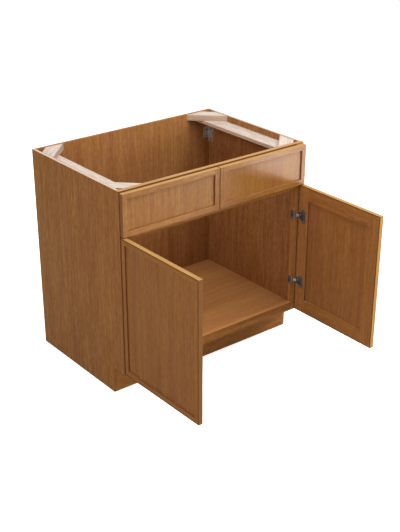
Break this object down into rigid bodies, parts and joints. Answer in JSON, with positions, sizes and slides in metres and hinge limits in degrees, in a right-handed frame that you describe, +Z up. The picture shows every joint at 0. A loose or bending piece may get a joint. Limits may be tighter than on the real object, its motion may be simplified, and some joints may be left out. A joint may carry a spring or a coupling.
{
  "type": "sink base cabinet",
  "caption": "Framed sink base kitchen cabinet with false drawer fronts over a pair of hinged recessed-panel doors, toe kick, corner braces and an open top for a sink.",
  "frame": {"origin": "on the floor, in the plane of the rear face, halfway across the width", "axes": "+X to the cabinet's right seen from the front, +Y towards the wall, +Z up"},
  "size_m": [0.9144, 1.0665, 0.8763],
  "materials": {
    "finished_plywood": "stained and lacquered plywood, satin",
    "stained_wood": "stained and lacquered solid wood, semi-gloss",
    "bare_plywood": "unfinished light plywood",
    "bare_wood": "unfinished beech",
    "hinge_steel": "nickel-plated pressed steel",
    "bracket_steel": "zinc-plated bent steel",
    "screw_steel": "zinc-plated",
    "clear_bumper": "soft clear plastic"
  },
  "bodies": {
    "cabinet": {"left_side_panel": "finished_plywood", "right_side_panel": "finished_plywood", "back_panel": "finished_plywood", "bottom_panel": "finished_plywood", "toe_kick_board": "finished_plywood", "left_stile": "stained_wood", "right_stile": "stained_wood", "top_rail": "stained_wood", "mid_rail": "stained_wood", "bottom_rail": "stained_wood", "mullion": "stained_wood", "face_frame_dowels": "bare_wood", "left_side_stretcher": "bare_plywood", "right_side_stretcher": "bare_plywood", "front_left_corner_block": "bare_plywood", "front_right_corner_block": "bare_plywood", "rear_left_corner_block": "bare_plywood", "rear_right_corner_block": "bare_plywood", "left_corner_bracket": "bracket_steel", "right_corner_bracket": "bracket_steel", "bracket_screws": "screw_steel", "left_front_outer_stile": "stained_wood", "left_front_inner_stile": "stained_wood", "left_front_top_rail": "stained_wood", "left_front_bottom_rail": "stained_wood", "left_front_panel": "stained_wood", "left_lower_hinge_arm": "hinge_steel", "left_upper_hinge_arm": "hinge_steel", "right_front_outer_stile": "stained_wood", "right_front_inner_stile": "stained_wood", "right_front_top_rail": "stained_wood", "right_front_bottom_rail": "stained_wood", "right_front_panel": "stained_wood", "right_lower_hinge_arm": "hinge_steel", "right_upper_hinge_arm": "hinge_steel", "false_front_screws": "screw_steel", "hinge_plate_screws": "screw_steel"},
    "left_door": {"left_door_hinge_stile": "stained_wood", "left_door_lock_stile": "stained_wood", "left_door_top_rail": "stained_wood", "left_door_bottom_rail": "stained_wood", "left_door_panel": "stained_wood", "left_door_bumpers": "clear_bumper", "left_lower_hinge_cup": "hinge_steel", "left_upper_hinge_cup": "hinge_steel", "left_hinge_pins": "screw_steel", "left_cup_screws": "screw_steel"},
    "right_door": {"right_door_hinge_stile": "stained_wood", "right_door_lock_stile": "stained_wood", "right_door_top_rail": "stained_wood", "right_door_bottom_rail": "stained_wood", "right_door_panel": "stained_wood", "right_door_bumpers": "clear_bumper", "right_lower_hinge_cup": "hinge_steel", "right_upper_hinge_cup": "hinge_steel", "right_hinge_pins": "screw_steel", "right_cup_screws": "screw_steel"}
  },
  "joints": [
    {"name": "left_door_hinge", "type": "hinge", "parent": "cabinet", "child": "left_door", "pos_m": [-0.4464, -0.6216, 0.41], "axis": [0, 0, -1], "range_deg": [-89.6, 10.4]},
    {"name": "right_door_hinge", "type": "hinge", "parent": "cabinet", "child": "right_door", "pos_m": [0.4464, -0.6216, 0.41], "axis": [0, 0, 1], "range_deg": [-89.6, 10.4]}
  ]
}
